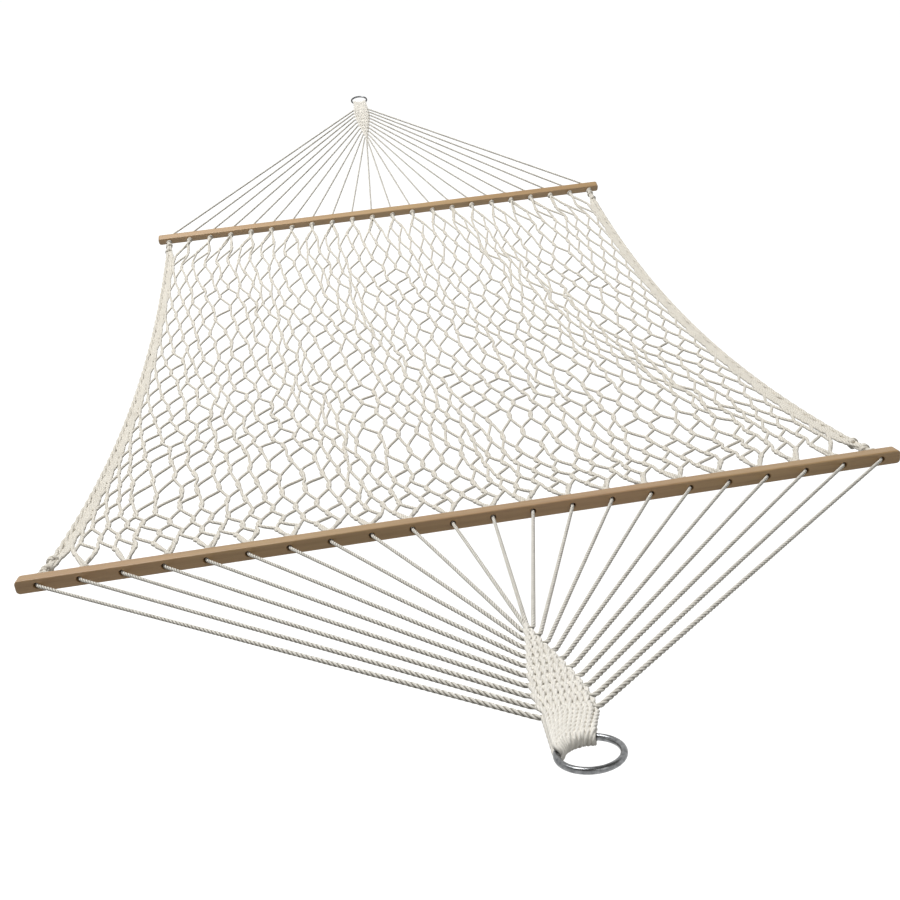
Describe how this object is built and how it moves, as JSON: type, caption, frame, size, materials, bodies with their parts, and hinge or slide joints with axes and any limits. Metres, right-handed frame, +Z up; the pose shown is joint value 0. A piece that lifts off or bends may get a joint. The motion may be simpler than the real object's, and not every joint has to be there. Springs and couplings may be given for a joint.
{
  "type": "rope hammock",
  "caption": "Hanging rope hammock: knotless net bed between two wooden spreader bars, with fanned leg ropes woven into clews on steel end rings.",
  "frame": {"origin": "centre of the near end ring's eye, where the hammock is hooked up", "axes": "+Y from the near ring to the far ring, level; +X along the spreader bars, to the right when looking along +Y; +Z up"},
  "size_m": [1.5, 3.623, 0.3671],
  "materials": {
    "varnished_wood": "satin varnish, honey brown, fine straight grain",
    "cotton_rope": "soft three-strand cotton rope, off-white, matt",
    "galvanised_steel": "grey zinc-plated round wire, satin"
  },
  "bodies": {
    "bed": {"net_bed": "cotton_rope", "left_edge_rope": "cotton_rope", "right_edge_rope": "cotton_rope"},
    "near_bar": {"near_spreader_bar": "varnished_wood"},
    "near_harness": {"near_clew": "cotton_rope", "near_leg_rope_01": "cotton_rope", "near_leg_rope_02": "cotton_rope", "near_leg_rope_03": "cotton_rope", "near_leg_rope_04": "cotton_rope", "near_leg_rope_05": "cotton_rope", "near_leg_rope_06": "cotton_rope", "near_leg_rope_07": "cotton_rope", "near_leg_rope_08": "cotton_rope", "near_leg_rope_09": "cotton_rope", "near_leg_rope_10": "cotton_rope", "near_leg_rope_11": "cotton_rope", "near_leg_rope_12": "cotton_rope", "near_leg_rope_13": "cotton_rope", "near_leg_rope_14": "cotton_rope", "near_leg_rope_15": "cotton_rope", "near_leg_rope_16": "cotton_rope", "near_leg_rope_17": "cotton_rope", "near_leg_rope_18": "cotton_rope", "near_leg_rope_19": "cotton_rope", "near_leg_rope_20": "cotton_rope", "near_leg_rope_21": "cotton_rope", "near_leg_rope_22": "cotton_rope"},
    "near_ring": {"near_ring": "galvanised_steel"},
    "far_bar": {"far_spreader_bar": "varnished_wood"},
    "far_harness": {"far_clew": "cotton_rope", "far_leg_rope_01": "cotton_rope", "far_leg_rope_02": "cotton_rope", "far_leg_rope_03": "cotton_rope", "far_leg_rope_04": "cotton_rope", "far_leg_rope_05": "cotton_rope", "far_leg_rope_06": "cotton_rope", "far_leg_rope_07": "cotton_rope", "far_leg_rope_08": "cotton_rope", "far_leg_rope_09": "cotton_rope", "far_leg_rope_10": "cotton_rope", "far_leg_rope_11": "cotton_rope", "far_leg_rope_12": "cotton_rope", "far_leg_rope_13": "cotton_rope", "far_leg_rope_14": "cotton_rope", "far_leg_rope_15": "cotton_rope", "far_leg_rope_16": "cotton_rope", "far_leg_rope_17": "cotton_rope", "far_leg_rope_18": "cotton_rope", "far_leg_rope_19": "cotton_rope", "far_leg_rope_20": "cotton_rope", "far_leg_rope_21": "cotton_rope", "far_leg_rope_22": "cotton_rope"},
    "far_ring": {"far_ring": "galvanised_steel"}
  },
  "joints": [
    {"name": "near_bar_hinge", "type": "hinge", "parent": "bed", "child": "near_bar", "pos_m": [0, 0.80483, -0.24722], "axis": [-1, 0, 0], "range_deg": [-45, 45]},
    {"name": "near_harness_hinge", "type": "hinge", "parent": "near_bar", "child": "near_harness", "pos_m": [0, 0.77516, -0.24278], "axis": [-1, 0, 0], "range_deg": [-75, 75]},
    {"name": "near_ring_hinge", "type": "hinge", "parent": "near_harness", "child": "near_ring", "pos_m": [0, 0.02395, -0.0075], "axis": [-1, 0, 0], "range_deg": [-90, 90]},
    {"name": "far_bar_hinge", "type": "hinge", "parent": "bed", "child": "far_bar", "pos_m": [0, 2.7563, -0.2511], "axis": [1, 0, 0], "range_deg": [-45, 45]},
    {"name": "far_harness_hinge", "type": "hinge", "parent": "far_bar", "child": "far_harness", "pos_m": [0, 2.7837, -0.2389], "axis": [1, 0, 0], "range_deg": [-75, 75]},
    {"name": "far_ring_hinge", "type": "hinge", "parent": "far_harness", "child": "far_ring", "pos_m": [0, 3.53601, -0.00738], "axis": [1, 0, 0], "range_deg": [-90, 90]}
  ]
}
